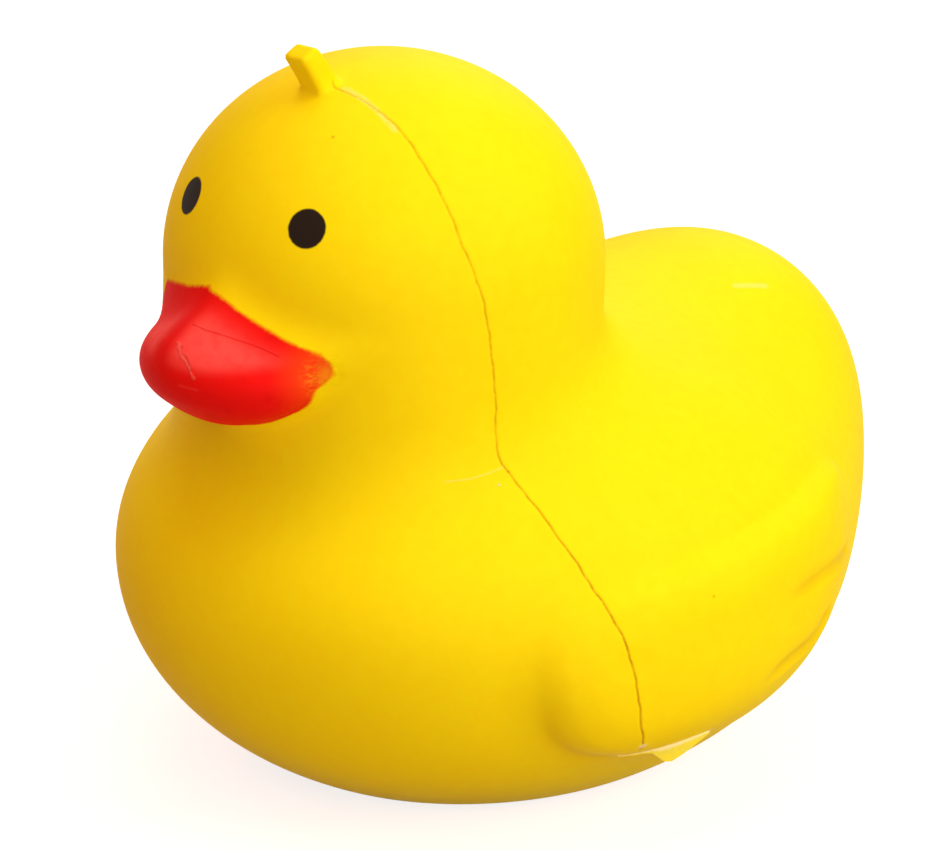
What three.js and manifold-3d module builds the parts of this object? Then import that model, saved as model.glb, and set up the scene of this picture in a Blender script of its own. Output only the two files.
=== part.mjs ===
// A squeeze duck of soft foam, moulded in one piece. Body, tail, wings, head, beak and the small tab that the
// mould leaves on the crown are one solid. Millimetres, +Z up. The duck faces -Y and its left side is +X.
import * as THREE from "three";
import { mergeVertices } from "three/addons/utils/BufferGeometryUtils.js";
import Module from "manifold-3d";

// Body: a round hull, deeper below its widest level than above it, with its lowest part cut to a flat base
const bodyWidth = 72.9;
const bodyLength = 83.3;
const bodyRise = 24.8;
const bodyDepth = 27.7;
const baseCut = 4;

// Tail: a raised round end that flows into the hull
const tailWidth = 26.8;
const tailLength = 24.1;
const tailHeight = 25.1;
const tailBehindBody = 34.1;
const tailCentreHeight = 34;
const tailBlend = 20;

// Head: round above, drawn out below so that it runs down into the body without a narrow neck
const headWidth = 45.4;
const headLength = 44.5;
const headRise = 21;
const headDrop = 42.7;
const headAheadOfBody = 15.3;
const headCentreHeight = 56.7;
const neckBlend = 6;

// Wings: a thick shoulder in front and a thinner blade that ends in the raised tip behind
const shoulderSize = new THREE.Vector3(21.5, 44.3, 26.6);
const shoulderInset = 8.7;
const shoulderAheadOfBody = 1.7;
const shoulderHeight = 21.3;
const bladeSize = new THREE.Vector3(20.6, 33.3, 18.6);
const bladeInset = 15.3;
const bladeBehindBody = 11.3;
const bladeHeight = 27.8;
const bladeTiltDeg = 9;
const bladeYawDeg = 7.9;
const shoulderBlend = 8;
const wingBlend = 2;

// Beak: a wide short bill with a crest along its middle
const beakWidth = 22.4;
const beakLength = 20.4;
const beakHeight = 12.8;
const beakSeat = 3;
const beakBelowEyesLevel = 5.9;
const crestSize = 9.4;
const crestSeat = 0;
const crestRise = 3;
const crestBlend = 4;
const beakBlend = 1.5;

// Crown tab: a block that stands on the head and leans forward
const tabWidth = 3;
const tabThickness = 2.4;
const tabHeight = 5.2;
const tabLeanDeg = 34;
const tabAheadOfHead = 9.2;
const tabRoot = 2.5;
const tabRounding = 0.5;

// Mesh of the skin
const skinCell = 2.7;
const settleSteps = 4;
const slopeStep = 0.01;

const yellow = new THREE.MeshStandardMaterial({ color: 0xffd91a, roughness: 0.62, metalness: 0 });

const wasm = await Module();
wasm.setup();

// An egg is an ellipsoid whose half-height below its centre may differ from the one above.
function egg(x, y, z, width, length, rise, drop = rise) {
  return { centre: new THREE.Vector3(x, y, z), half: new THREE.Vector3(width / 2, length / 2, rise), drop };
}

const body = egg(0, 0, bodyDepth - baseCut, bodyWidth, bodyLength, bodyRise, bodyDepth);
const tail = egg(0, tailBehindBody, tailCentreHeight, tailWidth, tailLength, tailHeight / 2);
const head = egg(0, -headAheadOfBody, headCentreHeight, headWidth, headLength, headRise, headDrop);
const faceY = head.centre.y - head.half.y;
const beakZ = head.centre.z - beakBelowEyesLevel;
const beak = egg(0, faceY + beakSeat, beakZ, beakWidth, beakLength, beakHeight / 2);
const crest = egg(0, faceY + crestSeat, beakZ + crestRise, crestSize, crestSize, crestSize / 2);
const shoulder = egg(
  bodyWidth / 2 - shoulderInset,
  -shoulderAheadOfBody,
  shoulderHeight,
  shoulderSize.x,
  shoulderSize.y,
  shoulderSize.z / 2,
);
const blade = egg(0, 0, 0, bladeSize.x, bladeSize.y, bladeSize.z / 2);
const bladePlace = new THREE.Matrix4()
  .makeTranslation(bodyWidth / 2 - bladeInset, bladeBehindBody, bladeHeight)
  .multiply(new THREE.Matrix4().makeRotationZ(THREE.MathUtils.degToRad(bladeYawDeg)))
  .multiply(new THREE.Matrix4().makeRotationX(THREE.MathUtils.degToRad(bladeTiltDeg)));
const intoBlade = bladePlace.clone().invert();

// Close to the true distance near the skin of the egg, and negative inside it
function eggDistance(point, { centre, half, drop }) {
  const size = new THREE.Vector3(half.x, half.y, point.z > centre.z ? half.z : drop);
  const scaled = point.clone().sub(centre).divide(size);
  const level = scaled.length();
  const slope = scaled.divide(size).length();
  return slope > 0 ? (level * (level - 1)) / slope : -Math.min(size.x, size.y, size.z);
}

// The nearer of two distances, rounded where they are closer together than the radius
function blend(a, b, radius) {
  const overlap = Math.max(radius - Math.abs(a - b), 0);
  return Math.min(a, b) - overlap ** 2 / (4 * radius);
}

function duckDistance(point) {
  const beside = new THREE.Vector3(Math.abs(point.x), point.y, point.z);
  const hull = blend(eggDistance(point, body), eggDistance(point, tail), tailBlend);
  const bladeSide = eggDistance(beside.clone().applyMatrix4(intoBlade), blade);
  const wing = blend(eggDistance(beside, shoulder), bladeSide, shoulderBlend);
  const bill = blend(eggDistance(point, beak), eggDistance(point, crest), crestBlend);
  const trunk = blend(hull, wing, wingBlend);
  return blend(blend(trunk, eggDistance(point, head), neckBlend), bill, beakBlend);
}

// Slides a point along the slope of the distance until it lies on the skin
function settle(point) {
  for (let step = 0; step < settleSteps; step += 1) {
    const here = duckDistance(point);
    const slope = new THREE.Vector3(
      duckDistance(point.clone().setX(point.x + slopeStep)) - here,
      duckDistance(point.clone().setY(point.y + slopeStep)) - here,
      duckDistance(point.clone().setZ(point.z + slopeStep)) - here,
    ).divideScalar(slopeStep);
    point.addScaledVector(slope, -here / slope.lengthSq());
  }
  return point;
}

// The grid is symmetrical about X = 0 and holds every egg, with room for what the widest blend adds to the skin.
function skinGrid() {
  const reach = new THREE.Box3().setFromCenterAndSize(blade.centre, bladeSize).applyMatrix4(bladePlace);
  for (const { centre, half, drop } of [body, tail, head, beak, crest, shoulder]) {
    reach.expandByPoint(centre.clone().add(half));
    reach.expandByPoint(centre.clone().sub(half).setZ(centre.z - drop));
  }
  reach.expandByScalar(tailBlend / 4);
  const across = Math.ceil(reach.max.x / skinCell);
  const start = new THREE.Vector3(-across * skinCell, reach.min.y, reach.min.z);
  const along = Math.ceil((reach.max.y - reach.min.y) / skinCell) + 1;
  const upward = Math.ceil((reach.max.z - reach.min.z) / skinCell) + 1;
  return { start, counts: [2 * across + 1, along, upward] };
}

// Puts one vertex in every grid cell that the skin crosses, and one quad around every grid edge that it crosses.
function skinGeometry() {
  const { start, counts } = skinGrid();
  const [nx, ny, nz] = counts;
  const strides = [1, nx, nx * ny];
  const corner = (i, j, k) => new THREE.Vector3(i, j, k).multiplyScalar(skinCell).add(start);
  const isInside = [];
  for (let k = 0; k < nz; k += 1)
    for (let j = 0; j < ny; j += 1)
      for (let i = 0; i < nx; i += 1) isInside.push(duckDistance(corner(i, j, k)) < 0);

  const positions = [];
  const vertexOfCell = new Map();
  function vertexIn(cell) {
    if (!vertexOfCell.has(cell)) {
      const middle = corner(cell % nx, Math.floor(cell / nx) % ny, Math.floor(cell / (nx * ny)));
      middle.addScalar(skinCell / 2);
      vertexOfCell.set(cell, positions.length / 3);
      positions.push(...settle(middle).toArray());
    }
    return vertexOfCell.get(cell);
  }

  const triangles = [];
  for (let here = 0; here < isInside.length; here += 1)
    for (let axis = 0; axis < 3; axis += 1) {
      const next = here + strides[axis];
      if (next >= isInside.length || isInside[here] === isInside[next]) continue;
      const side = strides[(axis + 1) % 3];
      const other = strides[(axis + 2) % 3];
      const ring = [here, here - side, here - side - other, here - other].map(vertexIn);
      if (!isInside[here]) ring.reverse();
      triangles.push(ring[0], ring[1], ring[2], ring[0], ring[2], ring[3]);
    }
  return new THREE.BufferGeometry()
    .setAttribute("position", new THREE.Float32BufferAttribute(positions, 3))
    .setIndex(triangles);
}

// The tab's block stands on the skin of the head, sunk in by its root.
function tabGeometry() {
  const flat = tabThickness / 2 - tabRounding;
  const outline = new THREE.Shape()
    .moveTo(-tabThickness / 2, 0)
    .lineTo(tabThickness / 2, 0)
    .lineTo(tabThickness / 2, tabHeight + tabRoot - tabRounding)
    .absarc(flat, tabHeight + tabRoot - tabRounding, tabRounding, 0, Math.PI / 2)
    .absarc(-flat, tabHeight + tabRoot - tabRounding, tabRounding, Math.PI / 2, Math.PI)
    .closePath();
  const level = Math.sqrt(1 - (tabAheadOfHead / head.half.y) ** 2);
  return new THREE.ExtrudeGeometry(outline, { depth: tabWidth, bevelEnabled: false, curveSegments: 3 })
    .translate(0, -tabRoot, -tabWidth / 2)
    .rotateX(Math.PI / 2)
    .rotateZ(Math.PI / 2)
    .rotateX(THREE.MathUtils.degToRad(tabLeanDeg))
    .translate(0, head.centre.y - tabAheadOfHead, head.centre.z + head.half.z * level);
}

function solidOf(geometry) {
  const bare = new THREE.BufferGeometry().setAttribute("position", geometry.getAttribute("position"));
  bare.setIndex(geometry.getIndex());
  const merged = mergeVertices(bare);
  const vertProperties = Float32Array.from(merged.getAttribute("position").array);
  const triVerts = Uint32Array.from(merged.getIndex().array);
  return new wasm.Manifold(new wasm.Mesh({ numProp: 3, vertProperties, triVerts }));
}

function geometryOf(solid) {
  const { vertProperties, triVerts } = solid.getMesh();
  return new THREE.BufferGeometry()
    .setAttribute("position", new THREE.BufferAttribute(vertProperties, 3))
    .setIndex(new THREE.BufferAttribute(triVerts, 1));
}

const span = bodyLength + tailLength + headLength;
const underBase = new THREE.BoxGeometry(span * 2, span * 2, span).translate(0, 0, -span / 2);
const solid = solidOf(skinGeometry()).add(solidOf(tabGeometry())).subtract(solidOf(underBase));

// The origin is the middle of the duck's length and width, on the base.
const skin = geometryOf(solid);
skin.computeBoundingBox();
const middle = skin.boundingBox.getCenter(new THREE.Vector3());
skin.translate(-middle.x, -middle.y, 0);
skin.computeVertexNormals();

const duck = new THREE.Mesh(skin, yellow);
duck.name = "duck";
const part = new THREE.Group();
part.add(duck);

export default part;
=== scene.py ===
import math

import bpy
import numpy as np
from mathutils import Matrix, Vector


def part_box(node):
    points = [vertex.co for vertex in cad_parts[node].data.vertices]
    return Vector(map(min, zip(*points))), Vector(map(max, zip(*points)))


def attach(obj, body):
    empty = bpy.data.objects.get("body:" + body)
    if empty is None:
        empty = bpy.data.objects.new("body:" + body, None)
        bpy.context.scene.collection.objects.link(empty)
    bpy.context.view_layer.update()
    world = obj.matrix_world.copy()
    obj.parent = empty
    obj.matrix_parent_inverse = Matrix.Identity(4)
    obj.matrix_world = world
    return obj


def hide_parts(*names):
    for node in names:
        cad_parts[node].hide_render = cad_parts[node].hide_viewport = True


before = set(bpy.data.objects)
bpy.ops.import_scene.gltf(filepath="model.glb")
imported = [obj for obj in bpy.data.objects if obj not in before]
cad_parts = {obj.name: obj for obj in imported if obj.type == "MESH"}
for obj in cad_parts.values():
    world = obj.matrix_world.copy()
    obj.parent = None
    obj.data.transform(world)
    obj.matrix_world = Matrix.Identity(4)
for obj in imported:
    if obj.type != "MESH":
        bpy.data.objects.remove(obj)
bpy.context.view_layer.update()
mm = 0.001


# Form of the duck

# Millimetres. The middle of the body is at x = 0 and y = 0, and the base is at z = 0. An egg is its centre,
# and its half width, half length, height above its centre and depth below it.
duckForm = {
    "body": ((0, 0, 23.7), (36.45, 41.65, 24.8, 27.7)),
    "tail": ((0, 34.1, 34.0), (13.4, 12.05, 12.55, 12.55)),
    "tailBlend": 20,
    "head": ((0, -15.3, 56.7), (22.7, 22.25, 21.0, 42.7)),
    "neckBlend": 6,
    "shoulder": ((27.75, -1.7, 21.3), (10.75, 22.15, 13.3, 13.3)),
    "blade": ((0, 0, 0), (10.3, 16.65, 9.3, 9.3)),
    "bladePlace": (21.15, 11.3, 27.8),
    "bladeTilt": math.radians(9),
    "bladeYaw": math.radians(7.9),
    "shoulderBlend": 8,
    "wingBlend": (3, 2),
    "wingBlendPlaces": (-14, -6),
    "baseEdge": 1.2,
}


def eggDistance(place, egg):
    centre, (halfX, halfY, rise, drop) = egg
    offset = place - np.array(centre)
    halfZ = np.where(offset[:, 2] > 0, rise, drop)
    size = np.stack([np.full(len(place), halfX), np.full(len(place), halfY), halfZ], 1)
    scaled = offset / size
    level = np.linalg.norm(scaled, axis=1)
    slope = np.linalg.norm(scaled / size, axis=1)
    return level * (level - 1) / np.maximum(slope, 1e-9)


def smoothStep(value, low, high):
    share = np.clip((value - low) / (high - low), 0, 1)
    return share * share * (3 - 2 * share)


# The nearer of two distances, rounded where they are closer together than the radius
def blend(a, b, radius):
    overlap = np.maximum(radius - np.abs(a - b), 0)
    return np.minimum(a, b) - overlap**2 / (4 * radius)


def farther(a, b, radius):
    return -blend(-a, -b, radius)


def onLeft(place):
    return np.column_stack([np.abs(place[:, 0]), place[:, 1], place[:, 2]])


def turned(place, axis, angle):
    matrix = np.array(Matrix.Rotation(angle, 3, axis))
    return place @ matrix.T


# The tab that the mould leaves on the crown
tabForm = {
    "foot": (0, -23.75, 75.5),
    "half": (1.6, 1.35, 5.35),
    "lean": math.radians(28),
    "bend": 0.021,
    "bendReach": 6,
    "flare": 0.03,
    "rounding": 0.55,
    "blend": 0.7,
}


def tabDistance(place):
    offset = turned(place - np.array(tabForm["foot"]), "X", -tabForm["lean"])
    height = np.clip(offset[:, 2], -tabForm["bendReach"], tabForm["bendReach"])
    offset[:, 1] += tabForm["bend"] * np.maximum(height, 0) ** 2
    past = np.abs(offset) - np.array(tabForm["half"]) + tabForm["rounding"]
    past[:, 1] += tabForm["flare"] * height
    outside = np.linalg.norm(np.maximum(past, 0), axis=1)
    return outside + np.minimum(past.max(1), 0) - tabForm["rounding"]


# The bill: two flat flanks fall away from a ridge along its middle, and a round keel closes it below.
billForm = {
    "root": -37.5,
    "rootHeight": 57.3,
    "ridgeFall": 0.463,
    "ridgeBend": 0.02,
    "flankSlope": 0.619,
    "ridgeRound": 2.0,
    "keelStart": -33.6,
    "rimHeight": 50.43,
    "rimFall": 0.285,
    "halfWidth": 12.43,
    "halfLength": 10.2,
    "depth": 5.65,
    "widthPower": 2.0,
    "lengthPower": 2.5,
    "rimBlend": 4.8,
    "faceBlend": (1.6, 3.0),
    "faceBlendHeights": (48, 54.5),
    "back": -26,
}


def roofDistance(place):
    form = billForm
    ahead = form["root"] - place[:, 1]
    ridge = form["rootHeight"] - form["ridgeFall"] * ahead - form["ridgeBend"] * np.maximum(ahead, 0) ** 2
    beside = np.sqrt(place[:, 0] ** 2 + form["ridgeRound"] ** 2) - form["ridgeRound"]
    fall = form["ridgeFall"] + 2 * form["ridgeBend"] * np.maximum(ahead, 0)
    steepness = np.sqrt(1 + form["flankSlope"] ** 2 + fall**2)
    return (place[:, 2] - ridge + form["flankSlope"] * beside) / steepness


def keelDistance(place):
    form = billForm
    across = np.abs(place[:, 0]) / form["halfWidth"]
    ahead = np.maximum(form["keelStart"] - place[:, 1], 0)
    along = ahead / form["halfLength"]
    bowl = across ** form["widthPower"] + along ** form["lengthPower"]
    floorHeight = form["rimHeight"] - form["rimFall"] * ahead - form["depth"] * (1 - bowl)
    slopeX = form["depth"] * form["widthPower"] * across ** (form["widthPower"] - 1) / form["halfWidth"]
    steepness = form["lengthPower"] * along ** (form["lengthPower"] - 1)
    slopeY = form["depth"] * steepness / form["halfLength"] - form["rimFall"]
    return (floorHeight - place[:, 2]) / np.sqrt(1 + slopeX**2 + slopeY**2)


def billDistance(place):
    shell = farther(keelDistance(place), roofDistance(place), billForm["rimBlend"])
    return np.maximum(shell, place[:, 1] - billForm["back"])


def duckDistance(place):
    form = duckForm
    beside = onLeft(place)
    hull = blend(eggDistance(place, form["body"]), eggDistance(place, form["tail"]), form["tailBlend"])
    fromBlade = turned(beside - np.array(form["bladePlace"]), "Z", -form["bladeYaw"])
    blade = eggDistance(turned(fromBlade, "X", -form["bladeTilt"]), form["blade"])
    wing = blend(eggDistance(beside, form["shoulder"]), blade, form["shoulderBlend"])
    front, rear = form["wingBlend"]
    wingBlend = front + (rear - front) * smoothStep(place[:, 1], *form["wingBlendPlaces"])
    trunk = blend(hull, wing, wingBlend)
    bird = blend(trunk, eggDistance(place, form["head"]), form["neckBlend"])
    under, over = billForm["faceBlend"]
    faceBlend = under + (over - under) * smoothStep(place[:, 2], *billForm["faceBlendHeights"])
    bird = blend(bird, billDistance(place), faceBlend)
    bird = blend(bird, tabDistance(place), tabForm["blend"])
    return farther(bird, -place[:, 2], form["baseEdge"])


# Mesh of the skin

# The mould line runs over the head and down both sides. Each pair is a height and the line's y there.
seamForm = {
    "line": (
        (12.0, -12.55), (13.3, -13.41), (15.5, -14.64), (18.1, -15.52), (20.7, -16.15), (23.0, -16.69),
        (25.1, -17.14), (26.8, -17.63), (29.3, -18.21), (32.3, -18.72), (34.9, -19.36), (37.2, -19.61),
        (38.6, -20.0), (40.0, -20.43), (40.6, -20.7), (41.7, -20.9), (46.1, -20.81), (50.7, -21.54),
        (54.4, -22.12), (58.1, -22.74), (61.3, -23.45), (64.0, -23.94), (69.8, -24.04), (74.5, -23.58),
        (76.0, -23.86),
    ),
    "waver": ((0.035, 1.7), (0.03, 3.9)),
    "depth": 0.09,
    "halfWidth": 0.14,
    "lip": 0.04,
    "lipReach": 0.6,
    "start": (11.4, 12.2),
    "stop": (76.4, 77.0),
    "bareSide": (0.5, 1.5),
    "bareHeight": (68, 72),
}
# The grid that the skin is cut from. A fine stretch is its start, its end and the spacing of its planes.
skinForm = {
    "coarse": 0.72,
    "growth": 0.25,
    "halfWidth": 42,
    "acrossFine": ((0, 2.4, 0.34), (0, 12, 0.5), (28, 38, 0.6)),
    "fromSeam": (-30, 76),
    "fromSeamFine": ((-0.4, 0.4, 0.1), (-24, -11, 0.42), (-5, 0, 0.34)),
    "heights": (-1.5, 82.5),
    "heightsFine": ((43, 59, 0.42), (76, 82, 0.34), (0, 1.5, 0.4), (9, 33, 0.6)),
    "settleSteps": 4,
    "slopeStep": 0.01,
    "plainFoot": (0, 4),
}


def seamY(height):
    heights, places = zip(*seamForm["line"])
    waver = sum(size * np.sin(rate * height + size * 100) for size, rate in seamForm["waver"])
    return np.interp(height, heights, places) + waver


# Places of grid planes. The spacing grows away from the fine stretches.
def planes(start, stop, stretches):
    places = [start]
    while places[-1] < stop:
        here = places[-1]
        steps = [skinForm["coarse"]]
        for low, high, spacing in stretches:
            away = max(low - here, here - high, 0)
            steps.append(spacing + skinForm["growth"] * away)
        places.append(here + min(steps))
    return np.array(places)


def mirroredPlanes(stop, stretches):
    half = planes(0, stop, stretches)
    return np.concatenate([-half[:0:-1], half])


# One point in each cell that the skin crosses, and one quad around each cell edge that it crosses
def surfaceNet(corners, field):
    inside = field < 0
    rings, cuts = [], []
    for axis in range(3):
        low, high = [slice(None)] * 3, [slice(None)] * 3
        low[axis], high[axis] = slice(None, -1), slice(1, None)
        here = np.argwhere(inside[tuple(low)] != inside[tuple(high)])
        there = here.copy()
        there[:, axis] += 1
        a, b = field[tuple(here.T)], field[tuple(there.T)]
        share = (a / (a - b))[:, None]
        cut = corners[tuple(here.T)] * (1 - share) + corners[tuple(there.T)] * share
        ring = np.repeat(here[:, None, :], 4, axis=1)
        ring[:, 1:3, (axis + 1) % 3] -= 1
        ring[:, 2:4, (axis + 2) % 3] -= 1
        cells = np.ravel_multi_index(tuple(np.moveaxis(ring, 2, 0)), field.shape)
        facesBack = ~inside[tuple(here.T)]
        cells[facesBack] = cells[facesBack][:, ::-1]
        rings.append(cells)
        cuts.append(np.repeat(cut[:, None, :], 4, axis=1))
    cells = np.concatenate(rings)
    cuts = np.concatenate(cuts).reshape(-1, 3)
    used, quads = np.unique(cells.ravel(), return_inverse=True)
    count = np.bincount(quads, minlength=len(used))
    points = np.stack([np.bincount(quads, cuts[:, axis], len(used)) / count for axis in range(3)], 1)
    return points, quads.reshape(-1, 4)


def slopeOf(distance, place):
    step = skinForm["slopeStep"]
    sides = []
    for axis in range(3):
        shift = np.zeros(3)
        shift[axis] = step
        sides.append((distance(place + shift) - distance(place - shift)) / (2 * step))
    return np.stack(sides, 1)


def settled(place, distance):
    for _ in range(skinForm["settleSteps"]):
        slope = slopeOf(distance, place)
        place = place - slope * (distance(place) / (slope**2).sum(1))[:, None]
    return place


def makeSkin():
    form = skinForm
    acrossPlanes = mirroredPlanes(form["halfWidth"], form["acrossFine"])
    gapPlanes = planes(*form["fromSeam"], form["fromSeamFine"])
    heightPlanes = planes(*form["heights"], form["heightsFine"])
    gridX, gridGap, gridZ = np.meshgrid(acrossPlanes, gapPlanes, heightPlanes, indexing="ij")
    gridY = gridGap + seamY(heightPlanes)[None, None, :]
    corners = np.stack([gridX, gridY, gridZ], 3)
    field = duckDistance(corners.reshape(-1, 3)).reshape(gridX.shape)
    points, quads = surfaceNet(corners, field)
    return settled(points, duckDistance), quads


skinPoints, skinQuads = makeSkin()
print("skin", len(skinPoints), "points", len(skinQuads) * 2, "triangles")


# Wings, mould line and base line, as heights above the plain form, and painted shade in the wing's creases

# The leaf outline of the folded wing, seen from the side: y, z and how far its edge stands up
wingForm = {
    "outline": (
        (-20.5, 28.6, 0.2), (-17.6, 29.4, 0.4), (-13.2, 30.1, 0.6), (-8.8, 30.7, 0.8), (-4.4, 31.0, 0.9),
        (0.7, 31.5, 1.0), (7.4, 32.0, 1.0), (14.0, 33.0, 1.0), (20.2, 33.4, 0.9), (23.4, 31.6, 0.6),
        (23.6, 27.8, 0.3), (20.5, 23.9, 0.1), (17.2, 19.6, 0.05), (11.9, 15.0, 0.05), (9.7, 12.4, 0.05),
        (1.1, 10.6, 0.05), (-4.9, 9.9, 0.15), (-11.7, 9.6, 0.6), (-15.4, 10.3, 0.9), (-18.6, 11.6, 0.95),
        (-21.6, 14.3, 0.8), (-23.4, 17.8, 0.6), (-24.2, 21.4, 0.4), (-23.9, 24.6, 0.25), (-22.6, 27.0, 0.15),
    ),
    "rounds": 2,
    "edge": (-0.4, 2.3),
    "inner": (3.5, 9.0),
    "innerFall": 0.75,
    "valley": 0.22,
    "valleyReach": 1.1,
    "valleyEnd": (-0.5, 1.0),
    "edgeShare": (0.3, 3),
    "creaseShadeReach": 0.75,
    "creaseShadeTone": 0.6,
    "lobeFront": (-15, -10),
    "lobeTop": (14, 21),
    "fromMiddle": (14, 20),
}
# Where one feather group lies over the next: a line from the wing's rear edge forward
featherForm = {
    "lines": (
        ((20.6, 23.6), (19.5, 23.8), (15.3, 24.4), (11.2, 24.4), (6.9, 24.2), (3.6, 24.0)),
        ((13.2, 19.2), (12.5, 18.7), (11.2, 17.7), (8.9, 17.3), (5.9, 17.0), (3.4, 16.3), (0.7, 14.9)),
    ),
    "creaseShadeReach": 0.75,
    "depth": 0.34,
    "halfWidth": 0.65,
    "lip": 0.12,
    "lipStart": 0.9,
    "lipReach": 2.4,
    "fadeLength": 5,
}


# Each round cuts every corner of the outline off by a quarter of its sides.
def roundedOutline(outline, rounds):
    ring = np.array(outline, float)
    for _ in range(rounds):
        ahead = np.roll(ring, -1, axis=0)
        corners = np.stack([ring * 0.75 + ahead * 0.25, ring * 0.25 + ahead * 0.75], 1)
        ring = corners.reshape(-1, ring.shape[1])
    return ring


# Distance from one straight piece of a line, and how far along the piece the nearest place is
def pieceDistance(flat, start, end):
    run = end - start
    share = np.clip((flat - start) @ run / (run @ run), 0, 1)
    return np.linalg.norm(flat - start - share[:, None] * run, axis=1), share


def wingHeight(place):
    form = wingForm
    ring = roundedOutline(form["outline"], form["rounds"])
    flat = place[:, 1:]
    nearest = np.full(len(flat), np.inf)
    inside = np.zeros(len(flat), bool)
    weights, lifts = np.zeros(len(flat)), np.zeros(len(flat))
    softness, power = form["edgeShare"]
    for start, end in zip(ring, np.roll(ring, -1, axis=0)):
        away, _ = pieceDistance(flat, start[:2], end[:2])
        nearest = np.minimum(nearest, away)
        weight = 1 / (away + softness) ** power
        weights += weight
        lifts += weight * start[2]
        spans = (start[1] > flat[:, 1]) != (end[1] > flat[:, 1])
        crossing = start[0] + (end[0] - start[0]) * (flat[:, 1] - start[1]) / (end[1] - start[1] + 1e-9)
        inside ^= spans & (flat[:, 0] < crossing)
    depth = np.where(inside, nearest, -nearest)
    raised = smoothStep(depth, *form["edge"]) * (1 - form["innerFall"] * smoothStep(depth, *form["inner"]))
    valley = form["valley"] * np.exp(-((np.minimum(depth, 0) / form["valleyReach"]) ** 2))
    valley *= 1 - smoothStep(depth, *form["valleyEnd"])
    onSide = smoothStep(np.abs(place[:, 0]), *form["fromMiddle"])
    onLobe = 1 - smoothStep(flat[:, 0], *form["lobeFront"])
    onLobe *= 1 - smoothStep(flat[:, 1], *form["lobeTop"])
    # Painted shade: a darker tone along the lobe's crease, where shade falls
    creaseShade = form["creaseShadeTone"] * np.exp(-((depth / form["creaseShadeReach"]) ** 2)) * onLobe * onSide
    return (raised - valley) * lifts / weights * onSide, creaseShade


def featherHeight(place):
    form = featherForm
    flat = place[:, 1:]
    height, creaseShade = np.zeros(len(flat)), np.zeros(len(flat))
    for line in form["lines"]:
        line = np.array(line)
        nearest, fade, below = np.full(len(flat), np.inf), np.zeros(len(flat)), np.zeros(len(flat))
        travelled = 0.0
        length = np.linalg.norm(np.diff(line, axis=0), axis=1).sum()
        for start, end in zip(line[:-1], line[1:]):
            away, share = pieceDistance(flat, start, end)
            run = end - start
            closer = away < nearest
            side = (flat[:, 0] - start[0]) * run[1] - (flat[:, 1] - start[1]) * run[0]
            reach = travelled + share * np.linalg.norm(run)
            fade = np.where(closer, smoothStep(length - reach, 0, form["fadeLength"]), fade)
            below = np.where(closer, side < 0, below)
            nearest = np.minimum(nearest, away)
            travelled += np.linalg.norm(run)
        groove = -form["depth"] * np.exp(-((nearest / form["halfWidth"]) ** 2))
        lip = form["lip"] * below * smoothStep(nearest, 0, form["lipStart"])
        lip *= 1 - smoothStep(nearest, form["lipStart"], form["lipReach"])
        height += (groove + lip) * fade
        # Painted shade along each feather groove
        creaseShade = np.maximum(creaseShade, np.exp(-((nearest / form["creaseShadeReach"]) ** 2)) * fade)
    onSide = smoothStep(np.abs(place[:, 0]), *wingForm["fromMiddle"])
    return height * onSide, creaseShade * onSide


# The mould line was smoothed away on the crown, on the right of the tab.
def seamMissing(place):
    return smoothStep(-place[:, 0], *seamForm["bareSide"]) * smoothStep(place[:, 2], *seamForm["bareHeight"])


def seamHeight(place, gap):
    groove = -seamForm["depth"] * np.exp(-((gap / seamForm["halfWidth"]) ** 2))
    lips = seamForm["lip"] * np.exp(-((gap / seamForm["lipReach"]) ** 2))
    shown = smoothStep(place[:, 2], *seamForm["start"]) * (1 - smoothStep(place[:, 2], *seamForm["stop"]))
    return (groove + lips) * shown * (1 - seamMissing(place))


skinNormals = slopeOf(duckDistance, skinPoints)
skinNormals /= np.linalg.norm(skinNormals, axis=1)[:, None]
seamGap = skinPoints[:, 1] - seamY(skinPoints[:, 2])
wingRise, lobeCreaseShade = wingHeight(skinPoints)
featherRise, featherCreaseShade = featherHeight(skinPoints)
sculpt = wingRise + featherRise + seamHeight(skinPoints, seamGap)
sculpt *= smoothStep(skinPoints[:, 2], *skinForm["plainFoot"])
shaped = skinPoints + skinNormals * sculpt[:, None]
_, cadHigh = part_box("duck")
toFrame = cadHigh.y / mm - shaped[:, 1].max()
print("the form moves by", round(toFrame, 3), "mm along Y")


# Paint edges, as distances in millimetres from the edge, more than 0 where there is paint
paintForm = {
    "eye": (8.4, -34.1, 65.05),
    "eyeRadius": 2.0,
    "reach": (
        (-4, 0.2), (-1.5, -0.1), (1.0, -0.55), (3.3, -0.5), (7.3, -0.4), (10.4, -0.25), (11.5, -0.15),
        (13, -0.3),
    ),
    "overrunTop": 58.0,
    "overrunFall": 0.2,
    "overrunTurn": -11.3,
    "overrunRound": 0.8,
    "overrunSide": -12.4,
    "overrunInner": -1.5,
    "overrunFoot": 50,
    "join": 1.2,
    "bareSpot": (12.2, -34.4, 48.3),
    "bareRadius": 1.95,
    "bareJoin": 1.6,
    "faceBack": -28,
    "faceFoot": 41,
    "furthest": 3,
    "fringeReach": 0.7,
}


def eyeEdge(place):
    return paintForm["eyeRadius"] - np.linalg.norm(onLeft(place) - np.array(paintForm["eye"]), axis=1)


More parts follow.
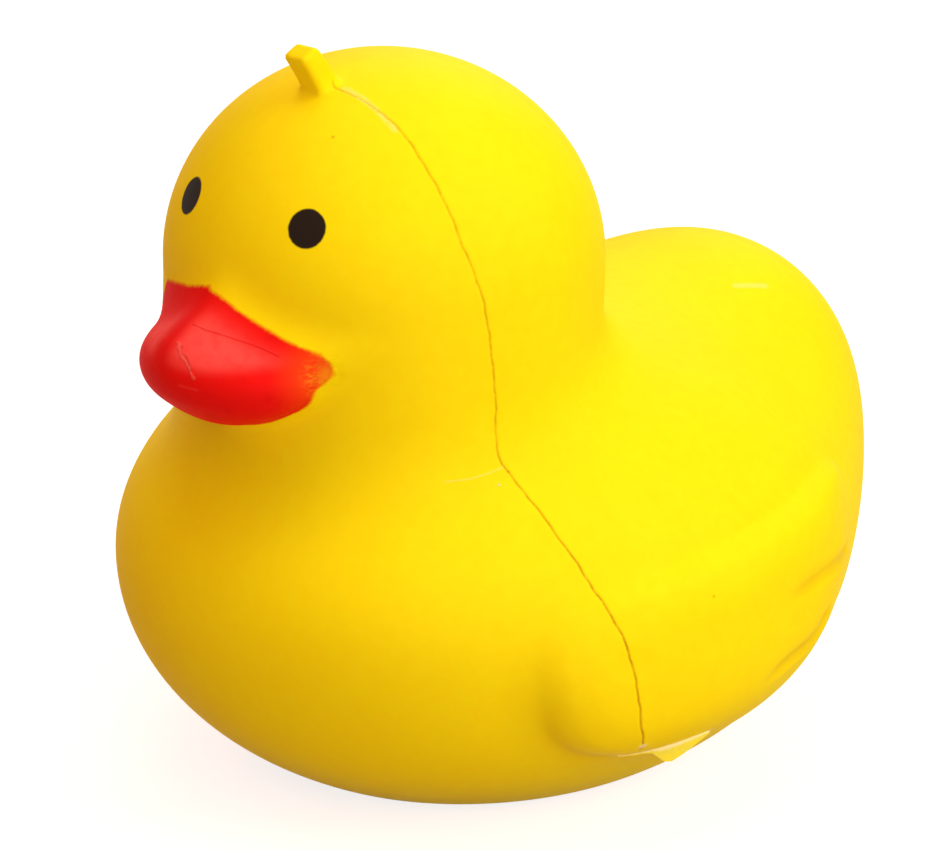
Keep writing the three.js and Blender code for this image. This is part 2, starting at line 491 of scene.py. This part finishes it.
# The right cheek has paint beyond the bill, up to an almost level edge. Below the left corner it is worn off.
def billEdge(place):
    form = paintForm
    sides, reaches = zip(*form["reach"])
    face = eggDistance(place, duckForm["head"])
    edge = np.interp(place[:, 0], sides, reaches) + face - billDistance(place)
    roundOff = form["overrunRound"] * np.maximum(form["overrunTurn"] - place[:, 0], 0) ** 2
    top = form["overrunTop"] + form["overrunFall"] * place[:, 0] - roundOff - place[:, 2]
    side = np.minimum(place[:, 0] - form["overrunSide"], form["overrunInner"] - place[:, 0])
    overrun = np.minimum(np.minimum(top, side), place[:, 2] - form["overrunFoot"])
    bare = np.linalg.norm(place - np.array(form["bareSpot"]), axis=1) - form["bareRadius"]
    edge = blend(farther(edge, overrun, form["join"]), bare, form["bareJoin"])
    edge = np.clip(edge, -form["furthest"], form["furthest"])
    onFace = (place[:, 1] < form["faceBack"]) & (place[:, 2] > form["faceFoot"])
    return np.where(onFace, edge, -form["furthest"])


def newMesh(name, places, faces, attributes):
    mesh = bpy.data.meshes.new(name)
    mesh.from_pydata((places * mm).tolist(), [], faces.tolist())
    mesh.shade_smooth()
    for attributeName, values in attributes.items():
        layer = mesh.attributes.new(attributeName, "FLOAT", "POINT")
        layer.data.foreach_set("value", values.astype(np.float32))
    piece = bpy.data.objects.new(name, mesh)
    bpy.context.scene.collection.objects.link(piece)
    return piece


# The bill's two flat flanks, drawn lighter and pinker: painted sheen where they face the lamps above, and
# paint rubbed there. Each range is where a share rises from 0 to 1.
sheenAndRubbedForm = {
    "roof": (-1.3, -0.1),
    "ridgeSide": 1.8,
    "besideRidge": (0.3, 3.0),
    "offFace": (1.0, 4.2),
    "foot": 50.6,
    "rise": 0.14,
    "aboveFoot": (-0.5, 1.3),
}


def sheenAndRubbedShare(place):
    form = sheenAndRubbedForm
    onRoof = smoothStep(roofDistance(place), *form["roof"])
    besideRidge = smoothStep(np.abs(place[:, 0] + form["ridgeSide"]), *form["besideRidge"])
    offFace = smoothStep(eggDistance(place, duckForm["head"]), *form["offFace"])
    lowest = form["foot"] + form["rise"] * np.abs(place[:, 0])
    return onRoof * besideRidge * offFace * smoothStep(place[:, 2] - lowest, *form["aboveFoot"])


inFrame = shaped + np.array([0, toFrame, 0])
skinValues = {
    "eyeEdge": eyeEdge(skinPoints),
    "billEdge": billEdge(skinPoints),
    "seamGap": np.clip(seamGap, -5, 5),
    "sheenAndRubbed": sheenAndRubbedShare(skinPoints),
    "seamTone": 1 - seamMissing(skinPoints),
    "creaseShade": np.maximum(lobeCreaseShade, featherCreaseShade),
}
duck = newMesh("squishyDuck", inFrame, skinQuads, skinValues)
print("duck mesh made")


# Shader helpers

def srgb(red, green, blue):
    parts = [part / 255 for part in (red, green, blue)]
    return (*[part / 12.92 if part < 0.04 else ((part + 0.055) / 1.055) ** 2.4 for part in parts], 1)


def setSocket(tree, socket, value):
    if isinstance(value, bpy.types.NodeSocket):
        tree.links.new(value, socket)
    else:
        socket.default_value = value


def mathNode(tree, operation, *values, clamp=False):
    node = tree.nodes.new("ShaderNodeMath")
    node.operation = operation
    node.use_clamp = clamp
    for socket, value in zip(node.inputs, values):
        setSocket(tree, socket, value)
    return node.outputs["Value"]


def vectorNode(tree, operation, *values, output="Vector", **named):
    node = tree.nodes.new("ShaderNodeVectorMath")
    node.operation = operation
    for socket, value in zip(node.inputs, values):
        setSocket(tree, socket, value)
    for name, value in named.items():
        setSocket(tree, node.inputs[name], value)
    return node.outputs[output]


def rampNode(tree, value, low, high, start=0.0, end=1.0):
    node = tree.nodes.new("ShaderNodeMapRange")
    node.interpolation_type = "SMOOTHSTEP"
    given = {"Value": value, "From Min": low, "From Max": high, "To Min": start, "To Max": end}
    for name, number in given.items():
        setSocket(tree, node.inputs[name], number)
    return node.outputs["Result"]


def mixColour(tree, factor, a, b):
    node = tree.nodes.new("ShaderNodeMix")
    node.data_type = "RGBA"
    colourInputs = [socket for socket in node.inputs if socket.type == "RGBA"]
    setSocket(tree, node.inputs["Factor"], factor)
    setSocket(tree, colourInputs[0], a)
    setSocket(tree, colourInputs[1], b)
    return [socket for socket in node.outputs if socket.type == "RGBA"][0]


def noiseNode(tree, place, scale, detail=2.0, roughness=0.5):
    node = tree.nodes.new("ShaderNodeTexNoise")
    for name, value in (("Vector", place), ("Scale", scale), ("Detail", detail), ("Roughness", roughness)):
        setSocket(tree, node.inputs[name], value)
    return node.outputs["Fac"]


def attributeNode(tree, name, output="Fac"):
    node = tree.nodes.new("ShaderNodeAttribute")
    node.attribute_name = name
    return node.outputs[output]


def objectPlace(tree):
    return tree.nodes.new("ShaderNodeTexCoord").outputs["Object"]


def newGroup(name, inputs, outputs):
    tree = bpy.data.node_groups.new(name, "ShaderNodeTree")
    for socketName, kind in inputs.items():
        tree.interface.new_socket(socketName, in_out="INPUT", socket_type="NodeSocket" + kind)
    for socketName, kind in outputs.items():
        tree.interface.new_socket(socketName, in_out="OUTPUT", socket_type="NodeSocket" + kind)
    return tree, tree.nodes.new("NodeGroupInput"), tree.nodes.new("NodeGroupOutput")


def useGroup(tree, group, **values):
    node = tree.nodes.new("ShaderNodeGroup")
    node.node_tree = group
    for name, value in values.items():
        setSocket(tree, node.inputs[name], value)
    return node


# A mask along one straight scratch, line or spot on the skin. From and To are its ends.
def makeStroke():
    inputs = {"Place": "Vector", "From": "Vector", "To": "Vector", "HalfWidth": "Float", "Softness": "Float"}
    tree, given, result = newGroup("stroke", inputs, {"Mask": "Float"})
    place, start, end = (given.outputs[name] for name in ("Place", "From", "To"))
    run = vectorNode(tree, "SUBTRACT", end, start)
    reach = vectorNode(tree, "SUBTRACT", place, start)
    along = vectorNode(tree, "DOT_PRODUCT", reach, run, output="Value")
    length = vectorNode(tree, "DOT_PRODUCT", run, run, output="Value")
    share = mathNode(tree, "DIVIDE", along, mathNode(tree, "MAXIMUM", length, 1e-6), clamp=True)
    nearest = vectorNode(tree, "ADD", start, vectorNode(tree, "SCALE", run, Scale=share))
    away = vectorNode(tree, "DISTANCE", place, nearest, output="Value")
    edge = mathNode(tree, "ADD", given.outputs["HalfWidth"], given.outputs["Softness"])
    mask = rampNode(tree, away, given.outputs["HalfWidth"], edge, 1.0, 0.0)
    tree.links.new(mask, result.inputs["Mask"])
    return tree


# The foam's skin: a slow mottle in its colour, and fine grain and shallow dimples in its height. A noise is
# its scale for a millimetre, its detail and its roughness.
grainForm = {
    "slowMottle": (0.09, 3.0),
    "fineMottle": (0.7, 2.0),
    "grain": (2.6, 3.0, 0.6),
    "grainShare": 0.25,
    "dimples": (0.35, 2.0),
}


def makeFoamGrain():
    tree, given, result = newGroup("foamGrain", {"Place": "Vector"}, {"Mottle": "Float", "Height": "Float"})
    noises = {}
    for name in ("slowMottle", "fineMottle", "grain", "dimples"):
        noises[name] = noiseNode(tree, given.outputs["Place"], *grainForm[name])
    mottle = mathNode(tree, "ADD", noises["slowMottle"], noises["fineMottle"])
    height = mathNode(tree, "MULTIPLY_ADD", noises["grain"], grainForm["grainShare"], noises["dimples"])
    tree.links.new(mathNode(tree, "MULTIPLY", mottle, 0.5), result.inputs["Mottle"])
    tree.links.new(height, result.inputs["Height"])
    return tree


stroke = makeStroke()
foamGrain = makeFoamGrain()


def onSkin(line):
    return [tuple(spot) for spot in settled(np.array(line, float), duckDistance)]


def strokesMask(tree, place, line, halfWidth, softness):
    line = onSkin(line)
    mask = None
    for start, end in zip(line[:-1], line[1:]):
        values = {"Place": place, "From": start, "To": end, "HalfWidth": halfWidth, "Softness": softness}
        piece = useGroup(tree, stroke, **values).outputs["Mask"]
        mask = piece if mask is None else mathNode(tree, "MAXIMUM", mask, piece)
    return mask


# Foam and paint

foamForm = {
    "lemon": srgb(255, 232, 12),
    "warm": srgb(255, 228, 8),
    "mottle": (0.35, 0.65),
    "paleAndHighlight": srgb(255, 238, 150),
    "creaseShade": srgb(206, 146, 0),
    "creaseShadeTone": 0.32,
    "seamLine": srgb(204, 152, 2),
    "seamEdge": (0.03, 0.2),
    "seamWaver": 0.05,
    "seamBreaks": (-0.2, 0.15, 0.5, 1.0),
    "seamFade": (30.0, 46.0, 1.0, 0.7),
    "speck": srgb(176, 128, 6),
    "roughness": 0.6,
    "roughnessWaver": 0.12,
    "specular": 0.05,
    "waver": (0.9, 3.0, 0.65),
    "fineWaver": (3.0, 2.0),
    "bumpDistance": 0.00005,
}
# A line is its points, its half width and how softly it ends, and a pale line is also how strong it is. Along
# the base line and the feather edge the pale is painted highlight, where a raised edge catches the light; the
# other pale lines and spots are the foam's own pale flash and scuffs. A spot is its place, its radius and how
# softly it ends.
markForm = {
    # Painted highlight along the flash ridge of the base line
    "baseLine": (
        (
            (30.6, -13.6, 10.1), (32.1, -10.6, 10.15), (33.3, -7.8, 10.6), (34.3, -4.5, 10.95),
            (34.38, -2.9, 10.97),
        ),
        0.12, 0.26, 1.0,
    ),
    "neckFlash": (
        ((19.45, -26.14, 39.65), (20.83, -24.02, 39.77), (21.72, -22.11, 40.14), (22.23, -20.8, 40.6)),
        0.02, 0.12, 0.25,
    ),
    "scuff": (((10.86, 26.4, 46.5), (11.77, 30.2, 45.9)), 0.1, 0.5, 0.3),
    # Painted highlight on the lip of the lower feather groove
    "featherHighlight": (((35.8, 12.5, 18.75), (36.2, 10.4, 17.9)), 0.05, 0.3, 0.3),
    "paleSpots": (((33.5, -12.7, 12.6), 0.3, 0.3), ((22.58, -21.72, 39.0), 0.096, 0.096)),
    "specks": (
        ((37.17, -6.67, 27.01), 0.08, 0.16), ((6.26, -28.34, 72.71), 0.1, 0.2),
        ((22.57, -20.43, 40.04), 0.1, 0.2),
    ),
    "speckTone": 0.4,
    "wornSeam": (((2.87, -23.39, 76.11), (5.85, -23.54, 75.47), (10.53, -24.03, 73.4)), 0.1, 0.45),
    "wornBreaks": (-0.25, 0.25),
    "wornTone": 0.5,
    "rise": 1.2,
    "reach": 1.6,
}
paleAndHighlightLines = ("baseLine", "neckFlash", "scuff", "featherHighlight")
paintFinish = {
    "red": srgb(238, 21, 16),
    "deepRed": srgb(224, 13, 13),
    "blotches": (0.5, 4.0),
    "blotchEdge": (0.1, 0.5),
    "sheenAndRubbed": srgb(248, 76, 68),
    "sheenAndRubbing": (0.8, 4.0),
    "sheenAndRubbingEdge": (0.25, 0.55, 0.7, 1.0),
    "corner": (12.4, -35.0, 50.9),
    "orangeRed": srgb(246, 74, 14),
    "orangeReach": (1.5, 6.5, 0.75, 0.0),
    "flaked": srgb(246, 150, 24),
    "streakStretch": (0.7, 0.7, 2.2),
    "streaks": (1.5, 4.0, 0.7),
    "streakEdge": (0.44, 0.58),
    "flakeReach": (0.8, 3.4, 0.9, 0.0),
    "bareReach": (0.3, 2.0, 0.75, 0.0),
    "wornDepth": -0.8,
    "jag": (0.9, 0.2, 0.7),
    "edgeWaver": 0.5,
    "fullEdge": (-0.02, 0.26),
    "fringe": srgb(240, 120, 8),
    "fringeEdge": (-0.32, 0.12),
    "roughness": 0.55,
    "specular": 0.03,
    "eye": srgb(36, 27, 20),
    "eyeWaver": 0.12,
    "eyeEdge": (-0.11, 0.11),
}
# Lines in the paint: a raised scar drawn pale pink as painted highlight, with painted shadow beside it, two
# ticks, and painted shade along the crease of the left flank
paintMarks = (
    # The scar: a raised scratch whose ridge is drawn pale pink as painted highlight
    {
        "line": (
            (-0.02, -43.7, 53.65), (0.95, -44.05, 53.13), (1.51, -44.3, 52.49), (2.36, -44.3, 51.87),
            (3.07, -44.3, 50.9),
        ),
        "edge": (0.02, 0.3), "jagged": True, "colour": srgb(255, 120, 100), "tone": 0.35, "rise": 1.5,
    },
    {
        "line": ((1.45, -45.39, 49.75), (2.54, -45.07, 49.72), (3.54, -44.66, 49.65)),
        "edge": (0.03, 0.2), "jagged": False, "colour": srgb(255, 120, 100), "tone": 0.105, "rise": 0.0,
    },
    # Painted shade along the crease of the left flank
    {
        "line": (
            (0.0, -41.57, 54.92), (1.55, -41.39, 54.71), (2.9, -40.79, 54.46), (6.63, -38.94, 53.54),
            (8.49, -38.16, 52.87),
        ),
        "edge": (0.02, 0.13), "jagged": False, "colour": paintFinish["deepRed"], "tone": 0.45, "rise": -1.6,
    },
    # Painted shadow beside the scar's ridge
    {
        "line": ((0.7, -43.8, 53.43), (1.48, -44.2, 52.76), (2.14, -44.2, 52.21), (2.73, -44.3, 51.63)),
        "edge": (0.01, 0.22), "jagged": True, "colour": srgb(165, 8, 12), "tone": 0.4, "rise": -1.0,
    },
)


# Colour, roughness and height of the whole skin. Faces without marks or paint leave those out.
def skinColours(tree, place, marked, painted):
    foam, paint = foamForm, paintFinish
    grain = useGroup(tree, foamGrain, Place=place)
    waver = mathNode(tree, "SUBTRACT", noiseNode(tree, place, *foam["waver"]), 0.5)
    fineWaver = mathNode(tree, "SUBTRACT", noiseNode(tree, place, *foam["fineWaver"]), 0.5)
    mottle = rampNode(tree, grain.outputs["Mottle"], *foam["mottle"])
    colour = mixColour(tree, mottle, foam["warm"], foam["lemon"])
    # Painted shade: the lobe's crease and the feather grooves are darkened where shade falls
    creaseShadeTone = mathNode(tree, "MULTIPLY", attributeNode(tree, "creaseShade"), foam["creaseShadeTone"])
    colour = mixColour(tree, creaseShadeTone, colour, foam["creaseShade"])
    colour = mixColour(tree, seamMask(tree, place, waver, fineWaver), colour, foam["seamLine"])
    roughness, height = foam["roughness"], grain.outputs["Height"]
    if marked:
        colour, height = addMarks(tree, place, fineWaver, colour, height)
    if painted:
        colour, roughness, height = addPaint(tree, place, waver, colour, height)
    inEye = mathNode(tree, "MULTIPLY_ADD", waver, paint["eyeWaver"], attributeNode(tree, "eyeEdge"))
    colour = mixColour(tree, rampNode(tree, inEye, *paint["eyeEdge"]), colour, paint["eye"])
    roughness = mathNode(tree, "MULTIPLY_ADD", fineWaver, foam["roughnessWaver"], roughness)
    return colour, roughness, height


# The mould line comes and goes, is fainter above the wings, and ends at the base line and at the tab.
def seamMask(tree, place, waver, fineWaver):
    foam = foamForm
    away = mathNode(tree, "MULTIPLY_ADD", fineWaver, foam["seamWaver"], attributeNode(tree, "seamGap"))
    mask = rampNode(tree, mathNode(tree, "ABSOLUTE", away), *foam["seamEdge"], 1.0, 0.0)
    height = heightOf(tree, place)
    shares = (
        rampNode(tree, waver, *foam["seamBreaks"]),
        rampNode(tree, height, *foam["seamFade"]),
        rampNode(tree, height, *seamForm["start"]),
        rampNode(tree, height, *seamForm["stop"], 1.0, 0.0),
        attributeNode(tree, "seamTone"),
    )
    for share in shares:
        mask = mathNode(tree, "MULTIPLY", mask, share)
    return mask


def addMarks(tree, place, fineWaver, colour, height):
    form = markForm
    wornBreaks = rampNode(tree, fineWaver, *form["wornBreaks"])
    worn = mathNode(tree, "MULTIPLY", strokesMask(tree, place, *form["wornSeam"]), wornBreaks)
    colour = mixColour(tree, mathNode(tree, "MULTIPLY", worn, form["wornTone"]), colour, foamForm["paleAndHighlight"])
    # Pale lines and spots: flash and scuffs of pale foam, and painted highlight along the base line and the
    # feather edge
    paleAndHighlight = 0.0
    for name in paleAndHighlightLines:
        *line, tone = form[name]
        mask = mathNode(tree, "MULTIPLY", strokesMask(tree, place, *line), tone)
        paleAndHighlight = mathNode(tree, "MAXIMUM", paleAndHighlight, mask)
    for spot, radius, softness in form["paleSpots"]:
        paleAndHighlight = mathNode(tree, "MAXIMUM", paleAndHighlight, strokesMask(tree, place, (spot, spot), radius, softness))
    colour = mixColour(tree, paleAndHighlight, colour, foamForm["paleAndHighlight"])
    for spot, radius, softness in form["specks"]:
        mask = strokesMask(tree, place, (spot, spot), radius, softness)
        tone = mathNode(tree, "MULTIPLY", mask, form["speckTone"])
        colour = mixColour(tree, tone, colour, foamForm["speck"])
    return colour, mathNode(tree, "MULTIPLY_ADD", paleAndHighlight, form["rise"], height)


# Red paint, with an orange edge where it is thin, a worn left corner, painted sheen on the flanks, and its
# marks, which include painted highlight and shade
def addPaint(tree, place, waver, colour, height):
    paint = paintFinish
    blotches = rampNode(tree, noiseNode(tree, place, *paint["blotches"]), *paint["blotchEdge"])
    red = mixColour(tree, blotches, paint["deepRed"], paint["red"])
    # Painted sheen with rubbed paint: the upper flanks are mixed towards a lighter pink
    sheenAndRubbing = rampNode(tree, noiseNode(tree, place, *paint["sheenAndRubbing"]), *paint["sheenAndRubbingEdge"])
    sheenAndRubbed = mathNode(tree, "MULTIPLY", attributeNode(tree, "sheenAndRubbed"), sheenAndRubbing)
    red = mixColour(tree, sheenAndRubbed, red, paint["sheenAndRubbed"])

    fromCorner = vectorNode(tree, "DISTANCE", place, paint["corner"], output="Value")
    red = mixColour(tree, rampNode(tree, fromCorner, *paint["orangeReach"]), red, paint["orangeRed"])
    stretched = vectorNode(tree, "MULTIPLY", place, paint["streakStretch"])
    streaks = rampNode(tree, noiseNode(tree, stretched, *paint["streaks"]), *paint["streakEdge"])
    flakes = mathNode(tree, "MULTIPLY", streaks, rampNode(tree, fromCorner, *paint["flakeReach"]))
    cornerWear = mathNode(tree, "MAXIMUM", flakes, rampNode(tree, fromCorner, *paint["bareReach"]))
    red = mixColour(tree, cornerWear, red, paint["flaked"])
    height = mathNode(tree, "MULTIPLY_ADD", cornerWear, paint["wornDepth"], height)

    jagged = vectorNode(tree, "ADD", place, vectorNode(tree, "SCALE", paint["jag"], Scale=waver))
    # The marks include painted highlight on the scar and painted shade at the scar and the crease
    for mark in paintMarks:
        mask = strokesMask(tree, jagged if mark["jagged"] else place, mark["line"], *mark["edge"])
        red = mixColour(tree, mathNode(tree, "MULTIPLY", mask, mark["tone"]), red, mark["colour"])
        height = mathNode(tree, "MULTIPLY_ADD", mask, mark["rise"], height)

    edge = mathNode(tree, "MULTIPLY_ADD", waver, paint["edgeWaver"], attributeNode(tree, "billEdge"))
    fullPaint = rampNode(tree, edge, *paint["fullEdge"])
    colour = mixColour(tree, rampNode(tree, edge, *paint["fringeEdge"]), colour, paint["fringe"])
    colour = mixColour(tree, fullPaint, colour, red)
    foamRoughness = foamForm["roughness"]
    roughness = mathNode(tree, "MULTIPLY_ADD", fullPaint, paint["roughness"] - foamRoughness, foamRoughness)
    return colour, roughness, height


def heightOf(tree, place):
    node = tree.nodes.new("ShaderNodeSeparateXYZ")
    tree.links.new(place, node.inputs["Vector"])
    return node.outputs["Z"]


def skinMaterial(name, specular, marked=False, painted=False):
    material = bpy.data.materials.new(name)
    material.use_nodes = True
    tree = material.node_tree
    shader = tree.nodes["Principled BSDF"]
    place = attributeNode(tree, "formPlace", "Vector")
    colour, roughness, height = skinColours(tree, place, marked, painted)
    bump = tree.nodes.new("ShaderNodeBump")
    bump.inputs["Distance"].default_value = foamForm["bumpDistance"]
    tree.links.new(height, bump.inputs["Height"])
    tree.links.new(bump.outputs["Normal"], shader.inputs["Normal"])
    tree.links.new(colour, shader.inputs["Base Color"])
    tree.links.new(roughness, shader.inputs["Roughness"])
    shader.inputs["Specular IOR Level"].default_value = specular
    return material


formPlace = duck.data.attributes.new("formPlace", "FLOAT_VECTOR", "POINT")
formPlace.data.foreach_set("vector", skinPoints.astype(np.float32).ravel())


# Whether each place lies near one of the foam's marks
def nearMarks(places):
    lines = [markForm[name][0] for name in (*paleAndHighlightLines, "wornSeam")]
    lines += [(spot[0], spot[0]) for spot in (*markForm["paleSpots"], *markForm["specks"])]
    near = np.zeros(len(places), bool)
    for line in map(onSkin, lines):
        for start, end in zip(line[:-1], line[1:]):
            middle, halfRun = (np.array(start) + end) / 2, np.linalg.norm(np.subtract(end, start)) / 2
            near |= np.linalg.norm(places - middle, axis=1) < halfRun + markForm["reach"]
    return near


duck.data.materials.append(skinMaterial("yellowFoam", foamForm["specular"]))
duck.data.materials.append(skinMaterial("markedFoam", foamForm["specular"], marked=True))
duck.data.materials.append(skinMaterial("billPaint", paintFinish["specular"], painted=True))
# 0 is plain foam, 1 lies near a mark, and 2 has paint or its edge.
faceKinds = nearMarks(skinPoints[skinQuads].mean(1)).astype(np.int32)
faceKinds[skinValues["billEdge"][skinQuads].max(1) > -paintForm["fringeReach"]] = 2
duck.data.polygons.foreach_set("material_index", faceKinds)
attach(duck, "root")
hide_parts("duck")
print("duck finished")


# Thin flash stands out along the base line of the left side, and a scrap of it hangs down. A row is its top
# and how far it hangs down.
flashForm = {
    "rows": (
        ((30.9, -13.3, 10.0), 0.05), ((31.6, -12.0, 10.05), 0.15), ((32.1, -10.6, 10.05), 0.15),
        ((32.4, -9.9, 10.1), 0.3), ((32.6, -9.4, 10.15), 0.8), ((32.9, -8.8, 10.25), 1.5),
        ((33.2, -8.0, 10.4), 1.75), ((33.6, -6.9, 10.5), 1.4), ((33.95, -5.7, 10.6), 0.95),
        ((34.15, -4.5, 10.7), 0.5), ((34.3, -3.2, 10.75), 0.08),
    ),
    "root": (-0.3, 0.3),
    "outward": 0.28,
    "lean": 0.08,
    "thickness": 0.1,
    "shadeNoise": (1.2, 3.0),
    "shadeEdge": (0.3, 0.7),
    "colour": srgb(238, 226, 60),
    "rimHighlight": srgb(255, 244, 176),
    "rimHighlightEdge": (0.7, 0.95),
    "roughness": 0.4,
    "transmission": 0.08,
}


def makeFlash():
    form = flashForm
    places = []
    for top, drop in form["rows"]:
        x, y, z = onSkin([top])[0]
        x += float(wingHeight(np.array([(x, y, z)]))[0][0])
        edge = x + form["outward"]
        inward, upward = form["root"]
        places += [(x + inward, y, z + upward), (edge, y, z), (edge + form["lean"] * drop, y, z - drop)]
    places = np.array(places) + np.array([0, toFrame, 0])
    faces = []
    for row in range(len(form["rows"]) - 1):
        for step in range(2):
            here = row * 3 + step
            faces.append((here, here + 1, here + 4, here + 3))
    rimHighlight = np.tile([1.0, 1.0, 0.0], len(form["rows"]))
    flash = newMesh("mouldFlash", places, np.array(faces), {"rimHighlight": rimHighlight})
    flash.data.shade_flat()
    thicken = flash.modifiers.new("thickness", "SOLIDIFY")
    thicken.thickness = form["thickness"] * mm
    flash.data.materials.append(flashMaterial())
    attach(flash, "root")


def flashMaterial():
    form = flashForm
    material = bpy.data.materials.new("thinFlash")
    material.use_nodes = True
    tree = material.node_tree
    shader = tree.nodes["Principled BSDF"]
    place = vectorNode(tree, "SCALE", objectPlace(tree), Scale=1 / mm)
    shade = rampNode(tree, noiseNode(tree, place, *form["shadeNoise"]), *form["shadeEdge"])
    colour = mixColour(tree, shade, foamForm["lemon"], form["colour"])
    # Painted highlight: the flash's top edge is drawn pale cream, as where it catches the light
    rimHighlightMask = rampNode(tree, attributeNode(tree, "rimHighlight"), *form["rimHighlightEdge"])
    tree.links.new(mixColour(tree, rimHighlightMask, colour, form["rimHighlight"]), shader.inputs["Base Color"])
    shader.inputs["Roughness"].default_value = form["roughness"]
    shader.inputs["Transmission Weight"].default_value = form["transmission"]
    return material


makeFlash()
print("flash finished")


# Floor and background

stageForm = {
    "floorSize": 6,
    "floorHeight": -0.00005,
    "floorColour": (0.52, 0.42, 0.34, 1),
    "floorRoughness": 0.9,
    "floorSpecular": 0.1,
    "floorGlow": 0.8,
    "glowReach": (0.2, 0.7),
    "fill": (1, 0.1, 0.03, 1),
    "fillStrength": 0.12,
}


# 1 for the camera and for reflections, which see the plain white of the background
def backgroundRays(tree):
    path = tree.nodes.new("ShaderNodeLightPath")
    share = path.outputs["Is Camera Ray"]
    for kind in ("Is Transmission Ray", "Is Glossy Ray"):
        share = mathNode(tree, "ADD", share, path.outputs[kind], clamp=True)
    return share


def makeFloor():
    bpy.ops.mesh.primitive_plane_add(size=stageForm["floorSize"])
    floor = bpy.context.object
    floor.name = "floor"
    floor.location.z = stageForm["floorHeight"]
    material = bpy.data.materials.new("paleFloor")
    material.use_nodes = True
    tree = material.node_tree
    shader = tree.nodes["Principled BSDF"]
    shader.inputs["Base Color"].default_value = stageForm["floorColour"]
    shader.inputs["Roughness"].default_value = stageForm["floorRoughness"]
    shader.inputs["Specular IOR Level"].default_value = stageForm["floorSpecular"]
    shader.inputs["Emission Color"].default_value = (1, 1, 1, 1)
    fromDuck = vectorNode(tree, "LENGTH", objectPlace(tree), output="Value")
    brightness = rampNode(tree, fromDuck, *stageForm["glowReach"], stageForm["floorGlow"], 1.0)
    glow = mathNode(tree, "MULTIPLY", backgroundRays(tree), brightness)
    tree.links.new(glow, shader.inputs["Emission Strength"])
    floor.data.materials.append(material)


def makeWorld():
    world = bpy.data.worlds.new("studio")
    bpy.context.scene.world = world
    world.use_nodes = True
    tree = world.node_tree
    fill = tree.nodes["Background"]
    fill.inputs["Color"].default_value = stageForm["fill"]
    fill.inputs["Strength"].default_value = stageForm["fillStrength"]
    white = tree.nodes.new("ShaderNodeBackground")
    white.inputs["Color"].default_value = (1, 1, 1, 1)
    choose = tree.nodes.new("ShaderNodeMixShader")
    tree.links.new(backgroundRays(tree), choose.inputs["Fac"])
    tree.links.new(fill.outputs["Background"], choose.inputs[1])
    tree.links.new(white.outputs["Background"], choose.inputs[2])
    tree.links.new(choose.outputs["Shader"], tree.nodes["World Output"].inputs["Surface"])


makeFloor()
makeWorld()


# Camera and lamps

viewForm = {
    "azimuth": math.radians(44.6),
    "elevation": math.radians(18.68),
    "distance": 0.5,
    "sensorWidth": 36,
    "focalPixels": 4800,
    "imageWidth": 930,
    "aim": (0, -2.5, 45),
    "right": -0.771,
    "up": -9.218,
}
lampForm = {
    "key": {"from": (0.9, 0.35, 0.7), "power": 5.45, "colour": (1, 1, 1)},
    "rightFront": {"from": (0.95, -0.5, 0.35), "power": 4.2, "colour": (1, 0.98, 0.94)},
    "top": {"from": (0, 0, 1), "power": 3.4, "colour": (1, 1, 1)},
    "leftFront": {"from": (-0.3, -0.5, 0.8), "power": 3.15, "colour": (1, 0.65, 0.53)},
    "rear": {"from": (-0.5, 0.7, 0.6), "power": 3.4, "colour": (1, 0.83, 0.75)},
}
lampSize = 0.75
lampTarget = Vector((0, 0, 0.04))


def makeCamera():
    azimuth, elevation = viewForm["azimuth"], viewForm["elevation"]
    flat = math.cos(elevation)
    back = Vector((math.sin(azimuth) * flat, -math.cos(azimuth) * flat, math.sin(elevation)))
    right = Vector((math.cos(azimuth), math.sin(azimuth), 0))
    up = back.cross(right)
    shift = right * viewForm["right"] + up * viewForm["up"]
    aim = Vector(viewForm["aim"]) + Vector((0, toFrame, 0)) + shift
    camera = bpy.data.objects.new("camera", bpy.data.cameras.new("camera"))
    camera.data.lens = viewForm["sensorWidth"] * viewForm["focalPixels"] / viewForm["imageWidth"]
    camera.location = aim * mm + back * viewForm["distance"]
    camera.rotation_mode = "QUATERNION"
    camera.rotation_quaternion = Matrix((right, up, back)).transposed().to_quaternion()
    bpy.context.scene.collection.objects.link(camera)
    bpy.context.scene.camera = camera


def makeLamp(name, form):
    data = bpy.data.lights.new(name, "AREA")
    data.shape = "DISK"
    data.size = lampSize
    data.energy = form["power"]
    data.color = form["colour"]
    lamp = bpy.data.objects.new(name, data)
    towards = Vector(form["from"]).normalized()
    lamp.location = lampTarget + towards
    lamp.rotation_mode = "QUATERNION"
    lamp.rotation_quaternion = towards.to_track_quat("Z", "Y")
    bpy.context.scene.collection.objects.link(lamp)


makeCamera()
for lampName, lamp in lampForm.items():
    makeLamp(lampName, lamp)
bpy.context.scene.view_settings.view_transform = "Standard"
print("camera and lamps made")
